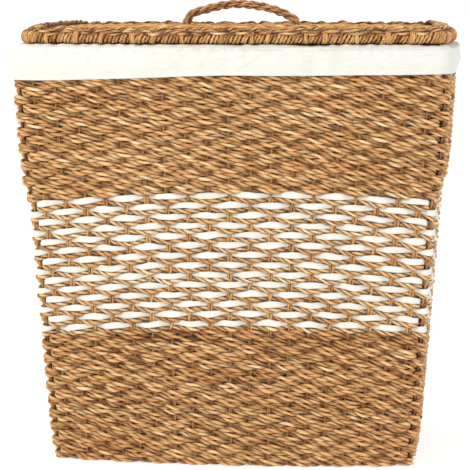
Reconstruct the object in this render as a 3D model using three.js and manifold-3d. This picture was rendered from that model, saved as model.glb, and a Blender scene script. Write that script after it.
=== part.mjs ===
// A tapered rectangular laundry basket, woven from twisted seagrass cord over a wire frame,
// with a fabric liner turned down over its rim and a loose woven lid with a rope handle.
// Millimetres. +Z is up, the front faces -Y, and the origin is on the floor under the middle.

import * as THREE from 'three';
import { mergeVertices } from 'three/addons/utils/BufferGeometryUtils.js';
import Module from 'manifold-3d';

// Driving dimensions

const RIM_HEIGHT = 508; // top of the bound rim
const TOP = { halfWidth: 258.5, halfDepth: 172 }; // woven outline at the rim, before it swells
const BOTTOM = { halfWidth: 223, halfDepth: 140 }; // the same at the floor
const CORNER_RADIUS = 26;
const FRONT_SWELL = 0.145; // radians that the front and back turn between middle and corner
const SIDE_SWELL = 0.12;
const STATIONS = { halfFront: 5, corner: 5, halfSide: 4 }; // facets in a quarter of every ring
const AXIS = -1000; // stands for the middle of the basket among the offsets

const WALL_TOP = 498;
const LOWER_BAND_TOP = 167;
const STRIPE_BAND_TOP = 330.6;
const WALL_INNER = -9; // offsets are measured outward from the woven outline
const LOWER_BAND_OUTER = 0;
const STRIPE_BAND_OUTER = 0;
const UPPER_BAND_OUTER = 5; // where it bulges most
const BASE_THICKNESS = 8;

const WIRE = 2.5; // radius of the uprights and the base wires
const RIM_WIRE = 3;
const UPRIGHT_OFFSET = -8;
const GROOVE_CLEARANCE = 0.5;
const GAP = 0.4; // between pieces that touch

const LINER_THICKNESS = 1.6;
const LINER_OUTER = -14.6;
const LINER_FLOOR = 15;
const CUFF_HEM = 466;
const CUFF_TOP = 510;

const LID_BOTTOM = 511;
const LID_SHIFT = 4.5; // the lid lies loose, a little to the right
const LID_ROD = 7; // radius of the wrapped edge of the lid
const LID_ROD_OFFSET = -11.5;
const LID_PANEL_THICKNESS = 5;
const LID_CROSS_WIRE = 2.2;
const BRAID_HEIGHT = 5.6;
const HANDLE_ROPE = 4.5; // radius
const HANDLE_HOLE = 5.8;
const KNOT_RADIUS = 8;

const COLOURS = {
  seagrass: 0xc39462,
  stripe: 0xe9dfcb,
  cotton: 0xf6f3e8,
  rope: 0xa8743f,
  wire: 0x3a2a1c,
};

const wasm = await Module();
wasm.setup();
const group = new THREE.Group();

// The woven outline: four gently swelling sides that run smoothly into round corners.
// Every part of it keeps its direction at all heights, so a line up the wall is straight.

const FRONT_SLOPE = Math.tan(FRONT_SWELL);
const SIDE_SLOPE = Math.tan(SIDE_SWELL);
const CORNER_ARC = (Math.PI / 2 - FRONT_SWELL - SIDE_SWELL) * CORNER_RADIUS;
const MID_HALF_FRONT = (TOP.halfWidth + BOTTOM.halfWidth) / 2 - CORNER_RADIUS;
const MID_HALF_SIDE = (TOP.halfDepth + BOTTOM.halfDepth) / 2 - CORNER_RADIUS;
const QUARTER = MID_HALF_FRONT + CORNER_ARC + MID_HALF_SIDE;

// A point s millimetres from the middle of the front towards the middle of the right side.
// reachX and reachY run from the middle to the corner's centre.
function quarterPoint(s, reachX, reachY, offset) {
  if (s <= MID_HALF_FRONT) {
    const along = s / MID_HALF_FRONT;
    const endX = reachX + CORNER_RADIUS * Math.sin(FRONT_SWELL);
    const endY = reachY + CORNER_RADIUS * Math.cos(FRONT_SWELL);
    const swell = (endX * FRONT_SLOPE * (1 - along ** 2)) / 2;
    const angle = Math.atan(FRONT_SLOPE * along);
    return [along * endX + offset * Math.sin(angle), endY + swell + offset * Math.cos(angle)];
  }
  if (s <= MID_HALF_FRONT + CORNER_ARC) {
    const angle = FRONT_SWELL + (s - MID_HALF_FRONT) / CORNER_RADIUS;
    const out = CORNER_RADIUS + offset;
    return [reachX + out * Math.sin(angle), reachY + out * Math.cos(angle)];
  }
  const across = (QUARTER - s) / MID_HALF_SIDE;
  const endX = reachX + CORNER_RADIUS * Math.cos(SIDE_SWELL);
  const endY = reachY + CORNER_RADIUS * Math.sin(SIDE_SWELL);
  const swell = (endY * SIDE_SLOPE * (1 - across ** 2)) / 2;
  const angle = Math.atan(SIDE_SLOPE * across);
  return [endX + swell + offset * Math.cos(angle), across * endY + offset * Math.sin(angle)];
}

// turn runs from 0 at the middle of the front, to the right and round to 1.
function outlinePoint(turn, level, offset) {
  const distance = (((turn % 1) + 1) % 1) * 4 * QUARTER;
  const quadrant = Math.min(Math.floor(distance / QUARTER), 3);
  const along = distance - quadrant * QUARTER;
  const mix = level / RIM_HEIGHT;
  const reachX = THREE.MathUtils.lerp(BOTTOM.halfWidth, TOP.halfWidth, mix) - CORNER_RADIUS;
  const reachY = THREE.MathUtils.lerp(BOTTOM.halfDepth, TOP.halfDepth, mix) - CORNER_RADIUS;
  const [x, y] = quarterPoint(quadrant % 2 ? QUARTER - along : along, reachX, reachY, offset);
  return new THREE.Vector2(quadrant < 2 ? x : -x, quadrant % 3 === 0 ? -y : y);
}

// The turns at which every ring has an edge between two facets.
function stationTurns() {
  const stops = [];
  const walk = (count, from, length) => {
    for (let i = 0; i < count; i += 1) stops.push(from + (i / count) * length);
  };
  walk(STATIONS.halfFront, 0, MID_HALF_FRONT);
  walk(STATIONS.corner, MID_HALF_FRONT, CORNER_ARC);
  walk(STATIONS.halfSide, MID_HALF_FRONT + CORNER_ARC, MID_HALF_SIDE);
  const back = stops.map((stop) => 2 * QUARTER - stop).reverse();
  const half = [...stops, QUARTER, ...back.slice(0, -1)];
  return [...half, ...half.map((stop) => stop + 2 * QUARTER)].map((stop) => stop / (4 * QUARTER));
}

const TURNS = stationTurns();

// Solids

// Sweeps a profile of [offset, height] points round the outline. A profile that starts and
// ends at the AXIS offset closes there, and any other closes on itself.
function ringGeometry(profile, level = null) {
  const points = profile.map(([offset, z]) => new THREE.Vector2(offset, z));
  if (profile[0][0] !== AXIS) points.push(points[0].clone());
  if (THREE.ShapeUtils.area(points) < 0) points.reverse();
  const geometry = new THREE.LatheGeometry(points, TURNS.length);
  const position = geometry.attributes.position;
  for (let i = 0; i < position.count; i += 1) {
    const turn = TURNS[Math.floor(i / points.length) % TURNS.length];
    const { x: offset, y: z } = points[i % points.length];
    const at = offset === AXIS ? new THREE.Vector2() : outlinePoint(turn, level ?? z, offset);
    position.setXYZ(i, at.x, at.y, z);
  }
  return geometry;
}

function circleProfile(offset, z, radius, sides = 6) {
  return Array.from({ length: sides }, (_, i) => {
    const angle = (i / sides) * 2 * Math.PI;
    return [offset + radius * Math.cos(angle), z + radius * Math.sin(angle)];
  });
}

function slabGeometry(offset, level, bottom, thickness, holes = []) {
  const shape = new THREE.Shape(TURNS.map((turn) => outlinePoint(turn, level, offset)));
  for (const x of holes) {
    shape.holes.push(new THREE.Path().absarc(x, 0, HANDLE_HOLE, 0, 2 * Math.PI, true));
  }
  const geometry = new THREE.ExtrudeGeometry(shape, {
    depth: thickness, bevelEnabled: false, curveSegments: 6,
  });
  geometry.translate(0, 0, bottom);
  return geometry;
}

function rodGeometry(start, end, radius, sides = 8) {
  const along = new THREE.Vector3().subVectors(end, start);
  const geometry = new THREE.CylinderGeometry(radius, radius, along.length(), sides);
  const turn = new THREE.Quaternion().setFromUnitVectors(new THREE.Vector3(0, 1, 0), along.normalize());
  geometry.applyQuaternion(turn);
  geometry.translate((start.x + end.x) / 2, (start.y + end.y) / 2, (start.z + end.z) / 2);
  return geometry;
}

function tubeGeometry(path, radius, steps, sides) {
  const section = new THREE.Shape().absarc(0, 0, radius, 0, 2 * Math.PI);
  return new THREE.ExtrudeGeometry(section, {
    steps, extrudePath: path, bevelEnabled: false, curveSegments: sides / 2,
  });
}

function toManifold(geometry) {
  const bare = geometry.clone();
  bare.deleteAttribute('normal');
  bare.deleteAttribute('uv');
  const merged = mergeVertices(bare, 1e-4);
  return new wasm.Manifold(new wasm.Mesh({
    numProp: 3,
    vertProperties: new Float32Array(merged.attributes.position.array),
    triVerts: new Uint32Array(merged.index.array),
  }));
}

function toGeometry(solid) {
  const mesh = solid.getMesh();
  const geometry = new THREE.BufferGeometry();
  geometry.setAttribute('position', new THREE.BufferAttribute(mesh.vertProperties, 3));
  geometry.setIndex(new THREE.BufferAttribute(mesh.triVerts, 1));
  geometry.computeVertexNormals();
  return geometry;
}

function add(name, geometry, colour, roughness, metalness = 0) {
  const material = new THREE.MeshStandardMaterial({ color: colour, roughness, metalness });
  const mesh = new THREE.Mesh(geometry, material);
  mesh.name = name;
  group.add(mesh);
  return mesh;
}

const addSeagrass = (name, geometry) => add(name, geometry, COLOURS.seagrass, 0.8);
const addWire = (name, geometry) => add(name, geometry, COLOURS.wire, 0.45, 0.7);
const addCotton = (name, geometry) => add(name, geometry, COLOURS.cotton, 0.9);

// Wire frame of the basket

const BASE_WIRE_Z = BASE_THICKNESS + GAP + WIRE;
const BASE_WIRE_OFFSET = WALL_INNER - GAP - WIRE;
const RIM_WIRE_Z = WALL_TOP + GAP + RIM_WIRE;
const RIM_WIRE_OFFSET = -5.5;
const UPRIGHT_BOTTOM = BASE_WIRE_Z + WIRE + 2 * GAP;
const UPRIGHT_TOP = RIM_WIRE_Z - RIM_WIRE - 2 * GAP;
const STAKES = 64; // each upright stands behind one of the stakes that the wall is woven on
const CORNER_TURN = 10 / STAKES;
const FACE_TURN = 3 / STAKES;
const BASE_CROSS_X = 70;

const UPRIGHTS = {
  upright_front_right: FACE_TURN,
  upright_corner_front_right: CORNER_TURN,
  upright_right: 0.25,
  upright_corner_back_right: 0.5 - CORNER_TURN,
  upright_back_right: 0.5 - FACE_TURN,
  upright_back_left: 0.5 + FACE_TURN,
  upright_corner_back_left: 0.5 + CORNER_TURN,
  upright_left: 0.75,
  upright_corner_front_left: 1 - CORNER_TURN,
  upright_front_left: 1 - FACE_TURN,
};

function uprightRod(turn, radius, bottom, top) {
  const start = outlinePoint(turn, bottom, UPRIGHT_OFFSET);
  const end = outlinePoint(turn, top, UPRIGHT_OFFSET);
  return rodGeometry(
    new THREE.Vector3(start.x, start.y, bottom), new THREE.Vector3(end.x, end.y, top), radius,
  );
}

// A wire along Y at this x, stopping short of the ring wire that it is welded to.
function crossRod(x, z, level, ringOffset, ringRadius, radius) {
  const steps = 400;
  let y = 0;
  for (let i = 0; i < steps; i += 1) {
    const point = outlinePoint(i / steps / 4, level, ringOffset - ringRadius);
    if (point.x <= Math.abs(x)) y = -point.y - GAP;
  }
  return rodGeometry(new THREE.Vector3(x, -y, z), new THREE.Vector3(x, y, z), radius);
}

function buildFrame() {
  addWire('base_wire_ring', ringGeometry(circleProfile(BASE_WIRE_OFFSET, BASE_WIRE_Z, WIRE)));
  for (const [side, x] of [['left', -BASE_CROSS_X], ['right', BASE_CROSS_X]]) {
    addWire(`base_cross_wire_${side}`,
      crossRod(x, BASE_WIRE_Z, BASE_WIRE_Z, BASE_WIRE_OFFSET, WIRE, WIRE));
  }
  for (const [name, turn] of Object.entries(UPRIGHTS)) {
    addWire(name, uprightRod(turn, WIRE, UPRIGHT_BOTTOM, UPRIGHT_TOP));
  }
  addWire('rim_wire_ring', ringGeometry(circleProfile(RIM_WIRE_OFFSET, RIM_WIRE_Z, RIM_WIRE)));
}

// Woven walls, base and rim

function grooved(geometry) {
  let solid = toManifold(geometry);
  for (const turn of Object.values(UPRIGHTS)) {
    const tool = uprightRod(turn, WIRE + GROOVE_CLEARANCE, UPRIGHT_BOTTOM - 1, WALL_TOP + 10);
    solid = solid.subtract(toManifold(tool));
  }
  return toGeometry(solid);
}

function buildWeave() {
  addSeagrass('base_weave', slabGeometry(WALL_INNER - GAP, 0, 0, BASE_THICKNESS));
  addSeagrass('lower_weave', grooved(ringGeometry([
    [WALL_INNER, 0], [LOWER_BAND_OUTER, 0],
    [LOWER_BAND_OUTER, LOWER_BAND_TOP], [WALL_INNER, LOWER_BAND_TOP],
  ])));
  const stripeBottom = LOWER_BAND_TOP + GAP;
  add('striped_weave', grooved(ringGeometry([
    [WALL_INNER, stripeBottom], [STRIPE_BAND_OUTER, stripeBottom],
    [STRIPE_BAND_OUTER, STRIPE_BAND_TOP], [WALL_INNER, STRIPE_BAND_TOP],
  ])), COLOURS.stripe, 0.8);
  const upperBottom = STRIPE_BAND_TOP + GAP;
  const widest = STRIPE_BAND_TOP + 50;
  addSeagrass('upper_weave', grooved(ringGeometry([
    [WALL_INNER, upperBottom], [UPPER_BAND_OUTER - 1, upperBottom],
    [UPPER_BAND_OUTER, widest], [3.3, CUFF_HEM], [-2, WALL_TOP - 8], [-2, WALL_TOP],
    [WALL_INNER, WALL_TOP],
  ])));
  addSeagrass('rim_binding', rimBinding());
}

// The binding is a channel turned over the top edge of the wall and the rim wire.
function rimBinding() {
  const outer = 1.4;
  const inner = -14;
  const leg = 3;
  const ceiling = RIM_WIRE_Z + RIM_WIRE + GAP;
  const legBottom = WALL_TOP - 4;
  return ringGeometry([
    [outer, legBottom], [outer, RIM_HEIGHT - 2], [outer - 2, RIM_HEIGHT],
    [inner + 2, RIM_HEIGHT], [inner, RIM_HEIGHT - 2], [inner, legBottom],
    [inner + leg, legBottom], [inner + leg, ceiling],
    [outer - leg, ceiling], [outer - leg, legBottom],
  ]);
}

// Liner: a bag inside the basket, sewn to a cuff that turns over the rim

function linerBag() {
  const inner = LINER_OUTER - LINER_THICKNESS;
  const top = WALL_TOP - 0.8;
  const heel = 8; // the rounded lower edge
  const floorTop = LINER_FLOOR + LINER_THICKNESS;
  return ringGeometry([
    [AXIS, LINER_FLOOR], [LINER_OUTER - heel, LINER_FLOOR], [LINER_OUTER, LINER_FLOOR + heel],
    [LINER_OUTER, top], [inner, top], [inner, floorTop + heel],
    [inner - heel, floorTop], [AXIS, floorTop],
  ]);
}

function linerCuff() {
  const inside = LINER_OUTER - LINER_THICKNESS;
  const seam = WALL_TOP - 0.4;
  return ringGeometry([
    [inside, seam], [inside, CUFF_TOP], [2.8, CUFF_TOP], [6.4, CUFF_TOP - 22],
    [5.4, CUFF_HEM], [3.8, CUFF_HEM], [4.8, CUFF_TOP - 22], [2.6, CUFF_TOP - 6],
    [1, CUFF_TOP - 1.6], [LINER_OUTER, CUFF_TOP - 1.6], [LINER_OUTER, seam],
  ]);
}

function buildLiner() {
  addCotton('liner_bag', linerBag());
  addCotton('liner_cuff', linerCuff());
}

// Lid

const LID_ROD_Z = LID_BOTTOM + LID_ROD;
const LID_PANEL_BOTTOM = LID_ROD_Z + LID_CROSS_WIRE + GAP;
const LID_PANEL_TOP = LID_PANEL_BOTTOM + LID_PANEL_THICKNESS;
const LID_PANEL_OFFSET = LID_ROD_OFFSET - LID_ROD - GAP;
const LID_CROSS_X = { left: -150, middle: 0, right: 150 };
const LEFT_FOOT = -73;
const RIGHT_FOOT = 63;
const KNOT_Z = LID_PANEL_BOTTOM - GAP - KNOT_RADIUS;

// The wrapping round the lid's ring wire, open on its inner side where the weave enters it.
function lidEdgeWrap() {
  const slot = 0.5; // radians each side of the opening
  const arc = (radius, from, to, sides) => Array.from({ length: sides + 1 }, (_, i) => {
    const angle = THREE.MathUtils.lerp(from, to, i / sides);
    return [LID_ROD_OFFSET + radius * Math.cos(angle), LID_ROD_Z + radius * Math.sin(angle)];
  });
  const hollow = WIRE + GAP;
  const hollowSlot = Math.asin((LID_ROD * Math.sin(slot)) / hollow / 1.3);
  return ringGeometry([
    ...arc(LID_ROD, -Math.PI + slot, Math.PI - slot, 8),
    ...arc(hollow, Math.PI - hollowSlot, -Math.PI + hollowSlot, 4),
  ], RIM_HEIGHT);
}

function lidEdgeBraid() {
  const inner = LID_ROD_OFFSET - 11;
  const outer = LID_ROD_OFFSET + 6;
  const bottom = LID_PANEL_TOP + GAP;
  const top = bottom + BRAID_HEIGHT;
  return ringGeometry([
    [inner, bottom], [outer, bottom], [outer + 1.5, bottom + 2.5],
    [outer - 4, top], [inner + 4, top], [inner - 1, bottom + 2.5],
  ], RIM_HEIGHT);
}

function handleRope() {
  const route = [
    [LEFT_FOOT, KNOT_Z - LID_PANEL_TOP], [LEFT_FOOT, -2], [LEFT_FOOT + 2, 8], [-64, 17.5],
    [-49, 23.5], [-29, 28], [-10, 28.6], [9, 26.4], [30, 22.2], [49, 15.5], [60, 7.5],
    [RIGHT_FOOT, -2], [RIGHT_FOOT, KNOT_Z - LID_PANEL_TOP],
  ];
  const path = new THREE.CatmullRomCurve3(
    route.map(([x, rise]) => new THREE.Vector3(x, 0, LID_PANEL_TOP + rise)), false, 'centripetal',
  );
  let rope = toManifold(tubeGeometry(path, HANDLE_ROPE, 40, 8));
  for (const x of [LEFT_FOOT, RIGHT_FOOT]) {
    const knot = new THREE.SphereGeometry(KNOT_RADIUS, 8, 6);
    knot.translate(x, 0, KNOT_Z);
    rope = rope.add(toManifold(knot));
  }
  return toGeometry(rope);
}

function buildLid() {
  const lid = [
    addWire('lid_wire_ring', ringGeometry(circleProfile(LID_ROD_OFFSET, LID_ROD_Z, WIRE), RIM_HEIGHT)),
    addSeagrass('lid_edge_wrap', lidEdgeWrap()),
    addSeagrass('lid_weave', slabGeometry(
      LID_PANEL_OFFSET, RIM_HEIGHT, LID_PANEL_BOTTOM, LID_PANEL_THICKNESS, [LEFT_FOOT, RIGHT_FOOT],
    )),
    addSeagrass('lid_edge_braid', lidEdgeBraid()),
    add('handle_rope', handleRope(), COLOURS.rope, 0.75),
  ];
  for (const [side, x] of Object.entries(LID_CROSS_X)) {
    const rod = crossRod(x, LID_ROD_Z, RIM_HEIGHT, LID_ROD_OFFSET, WIRE, LID_CROSS_WIRE);
    lid.push(addWire(`lid_cross_wire_${side}`, rod));
  }
  for (const mesh of lid) mesh.position.x = LID_SHIFT;
}

buildFrame();
buildWeave();
buildLiner();
buildLid();

export default group;
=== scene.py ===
"""A woven seagrass laundry basket with a pale striped band, a cotton liner turned down over
its rim, and a loose woven lid with a rope handle. The CAD model is the fixed frame, and the
weave, the plaits, the rope and the cloth are made here cord by cord. Metres throughout."""
import math

import bpy
import numpy as np
from mathutils import Matrix, Vector


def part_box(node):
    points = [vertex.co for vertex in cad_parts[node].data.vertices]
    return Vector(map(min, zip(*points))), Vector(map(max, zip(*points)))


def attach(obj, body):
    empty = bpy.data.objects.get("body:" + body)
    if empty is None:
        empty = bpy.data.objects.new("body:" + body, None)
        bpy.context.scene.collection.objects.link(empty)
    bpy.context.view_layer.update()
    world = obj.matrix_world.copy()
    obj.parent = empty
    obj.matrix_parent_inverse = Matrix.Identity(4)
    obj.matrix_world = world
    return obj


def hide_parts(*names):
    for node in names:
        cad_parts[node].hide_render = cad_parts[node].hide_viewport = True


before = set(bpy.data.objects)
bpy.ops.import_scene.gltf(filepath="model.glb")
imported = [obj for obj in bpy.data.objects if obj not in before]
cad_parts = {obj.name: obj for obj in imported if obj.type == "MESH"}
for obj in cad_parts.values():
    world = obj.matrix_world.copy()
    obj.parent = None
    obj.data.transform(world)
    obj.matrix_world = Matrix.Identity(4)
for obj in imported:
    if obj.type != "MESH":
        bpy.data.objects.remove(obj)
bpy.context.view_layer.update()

PI = math.pi
RIGHT, BACK, UP = np.eye(3)

# The woven outline of the CAD model. Its half sizes come from two of the CAD boxes.

RIM_LEVEL = 0.508
CORNER = 0.026  # radius
WALL_CORNER = 0.019  # the cords pull the woven corners tighter than the plain solid's
PLAIT_CORNER = 0.045  # the plait cuts the lid's corners
FRONT_SWELL = 0.145  # radians that the front turns between its middle and the corner
SIDE_SWELL = 0.12
BASE_INSET = 0.0094  # of the base weave's edge from the outline
LID_INSET = 0.0189
UPRIGHTS = 64  # stakes round the wall
LID_SHIFT = float(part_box("lid_weave")[0][0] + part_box("lid_weave")[1][0]) / 2


def half_sizes(node, inset):
    """The outline's half width and half depth, from the box of a node that is inset from it."""
    low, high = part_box(node)
    x = (high[0] - low[0]) / 2 + inset
    y = (high[1] - low[1]) / 2 + inset
    tan_f, tan_s = math.tan(FRONT_SWELL), math.tan(SIDE_SWELL)
    # a box is wider than its half sizes say by the swell of the sides
    matrix = [[1, tan_s / 2], [tan_f / 2, 1]]
    reached = [
        x + CORNER * (1 - math.cos(SIDE_SWELL)) + CORNER * (1 - math.sin(SIDE_SWELL)) * tan_s / 2,
        y + CORNER * (1 - math.cos(FRONT_SWELL)) + CORNER * (1 - math.sin(FRONT_SWELL)) * tan_f / 2,
    ]
    return np.linalg.solve(matrix, reached)


BOTTOM = half_sizes("base_weave", BASE_INSET)
TOP = half_sizes("lid_weave", LID_INSET)
MID_FRONT, MID_SIDE = (TOP + BOTTOM) / 2 - CORNER
CORNER_ARC = (PI / 2 - FRONT_SWELL - SIDE_SWELL) * CORNER
QUARTER = MID_FRONT + CORNER_ARC + MID_SIDE


def outline(turn, level, offset, corner=CORNER):
    """Points of the outline and its outward normals. turn goes from 0 at the middle of the
    front to the right and round to 1."""
    mid_front, mid_side = (TOP + BOTTOM) / 2 - corner
    arc = (PI / 2 - FRONT_SWELL - SIDE_SWELL) * corner
    quarter = mid_front + arc + mid_side
    turn, level, offset = np.broadcast_arrays(
        np.asarray(turn, float), np.asarray(level, float), np.asarray(offset, float))
    distance = (turn % 1.0) * 4 * quarter
    quadrant = np.minimum((distance / quarter).astype(int), 3)
    along = distance - quadrant * quarter
    s = np.where(quadrant % 2 == 1, quarter - along, along)
    mix = level / RIM_LEVEL
    reach_x = BOTTOM[0] + (TOP[0] - BOTTOM[0]) * mix - corner
    reach_y = BOTTOM[1] + (TOP[1] - BOTTOM[1]) * mix - corner
    tan_f, tan_s = math.tan(FRONT_SWELL), math.tan(SIDE_SWELL)
    f = np.clip(s / mid_front, 0, 1)
    front_x = reach_x + corner * math.sin(FRONT_SWELL)
    front_y = reach_y + corner * math.cos(FRONT_SWELL)
    c = np.clip((quarter - s) / mid_side, 0, 1)
    side_x = reach_x + corner * math.cos(SIDE_SWELL)
    side_y = reach_y + corner * math.sin(SIDE_SWELL)
    on_front, on_side = s <= mid_front, s > mid_front + arc
    angle = np.where(on_front, np.arctan(tan_f * f), FRONT_SWELL + (s - mid_front) / corner)
    angle = np.where(on_side, PI / 2 - np.arctan(tan_s * c), angle)
    x = np.where(on_front, f * front_x, reach_x + corner * np.sin(angle))
    y = np.where(on_front, front_y + front_x * tan_f * (1 - f * f) / 2, reach_y + corner * np.cos(angle))
    x = np.where(on_side, side_x + side_y * tan_s * (1 - c * c) / 2, x)
    y = np.where(on_side, c * side_y, y)
    nx, ny = np.sin(angle), np.cos(angle)
    sign_x = np.where(quadrant < 2, 1.0, -1.0)
    sign_y = np.where((quadrant == 0) | (quadrant == 3), -1.0, 1.0)
    normal = np.stack([nx * sign_x, ny * sign_y, np.zeros_like(nx)], -1)
    point = np.stack([x * sign_x, y * sign_y, level * np.ones_like(x)], -1)
    return point + normal * offset[..., None], normal


# Camera, light and floor

def look():
    """The camera: a long lens in front of the basket, a little above its lid."""
    yaw, pitch, roll = math.radians(5.0), math.radians(8.08), math.radians(-0.05)
    distance, aside, height = 2.2, -0.0082, 0.5745
    c, s = math.cos(yaw), math.sin(yaw)
    forward = np.array([-s * math.cos(pitch), c * math.cos(pitch), -math.sin(pitch)])
    up = np.array([-s * math.sin(pitch), c * math.sin(pitch), math.cos(pitch)])
    right = np.array([c, s, 0.0])
    right, up = (math.cos(roll) * right + math.sin(roll) * up,
                 math.cos(roll) * up - math.sin(roll) * right)
    data = bpy.data.cameras.new("camera")
    data.sensor_width = 36  # millimetres, as the lens
    data.lens = 133.1157
    data.clip_start, data.clip_end = 0.05, 60
    camera = bpy.data.objects.new("camera", data)
    bpy.context.scene.collection.objects.link(camera)
    matrix = np.eye(4)
    matrix[:3, 0], matrix[:3, 1], matrix[:3, 2] = right, up, -forward
    matrix[:3, 3] = (aside * c + distance * s, aside * s - distance * c, height)
    camera.matrix_world = Matrix(matrix.tolist())
    bpy.context.scene.camera = camera


def area_light(name, place, aim, size, power, colour=(1, 1, 1)):
    data = bpy.data.lights.new(name, "AREA")
    data.shape = "RECTANGLE"
    data.size, data.size_y = size
    data.energy = power
    data.color = colour
    light = bpy.data.objects.new(name, data)
    light.location = place
    light.rotation_euler = (Vector(aim) - Vector(place)).to_track_quat("-Z", "Y").to_euler()
    bpy.context.scene.collection.objects.link(light)


def studio():
    """White surroundings, three soft lights and a pale floor that takes a faint shadow."""
    scene = bpy.context.scene
    scene.view_settings.view_transform = "Standard"
    scene.view_settings.look = "None"
    scene.view_settings.exposure = 0
    scene.view_settings.gamma = 1
    world = bpy.data.worlds.new("studio")
    scene.world = world
    world.use_nodes = True
    background = world.node_tree.nodes["Background"]
    background.inputs[0].default_value = (1, 1, 1, 1)
    background.inputs[1].default_value = 1.0
    area_light("key", (-1.5, -2.6, 2.3), (0, 0, 0.3), (1.0, 1.0), 46, (1.0, 0.985, 0.96))
    area_light("fill", (2.3, -2.2, 1.0), (0, 0, 0.25), (1.8, 1.8), 6)
    area_light("top", (0.3, 0.2, 2.6), (0, 0, 0.3), (1.6, 1.6), 5)
    mesh = bpy.data.meshes.new("floor")
    reach = 30
    corners = [(-reach, -reach, 0), (reach, -reach, 0), (reach, reach, 0), (-reach, reach, 0)]
    mesh.from_pydata(corners, [], [(0, 1, 2, 3)])
    floor = bpy.data.objects.new("floor", mesh)
    floor.location = (0, 0, -0.0005)  # just below the lowest cords
    scene.collection.objects.link(floor)
    material = bpy.data.materials.new("pale_floor")
    material.use_nodes = True
    shader = material.node_tree.nodes["Principled BSDF"]
    shader.inputs["Base Color"].default_value = (0.55, 0.55, 0.55, 1)
    shader.inputs["Roughness"].default_value = 0.9
    shader.inputs["Specular IOR Level"].default_value = 0.1
    shader.inputs["Emission Color"].default_value = (1, 1, 1, 1)
    shader.inputs["Emission Strength"].default_value = 0.6
    mesh.materials.append(material)


look()
studio()


# Materials

def rgb(*values):
    """Linear colour from the sRGB values 0 to 255."""
    shares = [v / 255 for v in values]
    linear = [v / 12.92 if v <= 0.04045 else ((v + 0.055) / 1.055) ** 2.4 for v in shares]
    return (*linear, 1.0)


class Nodes:
    """Short names for the nodes of one material."""

    def __init__(self, name):
        self.material = bpy.data.materials.new(name)
        self.material.use_nodes = True
        self.tree = self.material.node_tree
        self.shader = self.tree.nodes["Principled BSDF"]

    def new(self, kind, inputs=None, **settings):
        node = self.tree.nodes.new("ShaderNode" + kind)
        for key, value in settings.items():
            setattr(node, key, value)
        for key, value in (inputs or {}).items():
            self.put(node.inputs[key], value)
        return node

    def put(self, socket, value):
        if isinstance(value, bpy.types.NodeSocket):
            self.tree.links.new(value, socket)
        else:
            socket.default_value = value

    def attribute(self, name, vector=False):
        return self.new("Attribute", attribute_name=name).outputs["Vector" if vector else "Fac"]

    def math(self, operation, *values):
        node = self.new("Math", operation=operation)
        for i, value in enumerate(values):
            self.put(node.inputs[i], value)
        return node.outputs[0]

    def scaled(self, vector, scale):
        return self.new("Mapping", {"Vector": vector, "Scale": scale}).outputs[0]

    def noise(self, vector, scale, detail=3.0, roughness=0.6):
        return self.new("TexNoise", {
            "Vector": vector, "Scale": scale, "Detail": detail, "Roughness": roughness}).outputs["Fac"]

    def ramp(self, value, stops):
        node = self.new("ValToRGB", {"Fac": value})
        ramp = node.color_ramp
        while len(ramp.elements) < len(stops):
            ramp.elements.new(0.5)
        for element, (position, colour) in zip(ramp.elements, stops):
            element.position = position
            element.color = colour
        return node.outputs["Color"]

    def mix(self, factor, a, b, blend="MIX"):
        node = self.new("Mix", data_type="RGBA", blend_type=blend)
        self.put(node.inputs["Factor"], factor)
        self.put(node.inputs[6], a)
        self.put(node.inputs[7], b)
        return node.outputs[2]

    def bump(self, height, strength, distance, normal=None):
        inputs = {"Height": height, "Strength": strength, "Distance": distance}
        if normal is not None:
            inputs["Normal"] = normal
        return self.new("Bump", inputs).outputs[0]

    def finish(self, colour, roughness, normal=None, **constants):
        self.put(self.shader.inputs["Base Color"], colour)
        self.put(self.shader.inputs["Roughness"], roughness)
        if normal is not None:
            self.put(self.shader.inputs["Normal"], normal)
        for key, value in constants.items():
            self.shader.inputs[key.replace("_", " ")].default_value = value
        return self.material


SEAGRASS_STOPS = [
    (0.0, rgb(88, 50, 20)), (0.16, rgb(150, 97, 48)), (0.38, rgb(200, 146, 87)),
    (0.62, rgb(220, 171, 110)), (0.86, rgb(229, 190, 136)), (1.0, rgb(238, 212, 166)),
]
ROPE_STOPS = [  # browner, from handling
    (0.0, rgb(80, 42, 18)), (0.16, rgb(138, 86, 45)), (0.38, rgb(188, 132, 83)),
    (0.62, rgb(210, 158, 106)), (0.86, rgb(224, 183, 132)), (1.0, rgb(234, 205, 160)),
]


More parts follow.
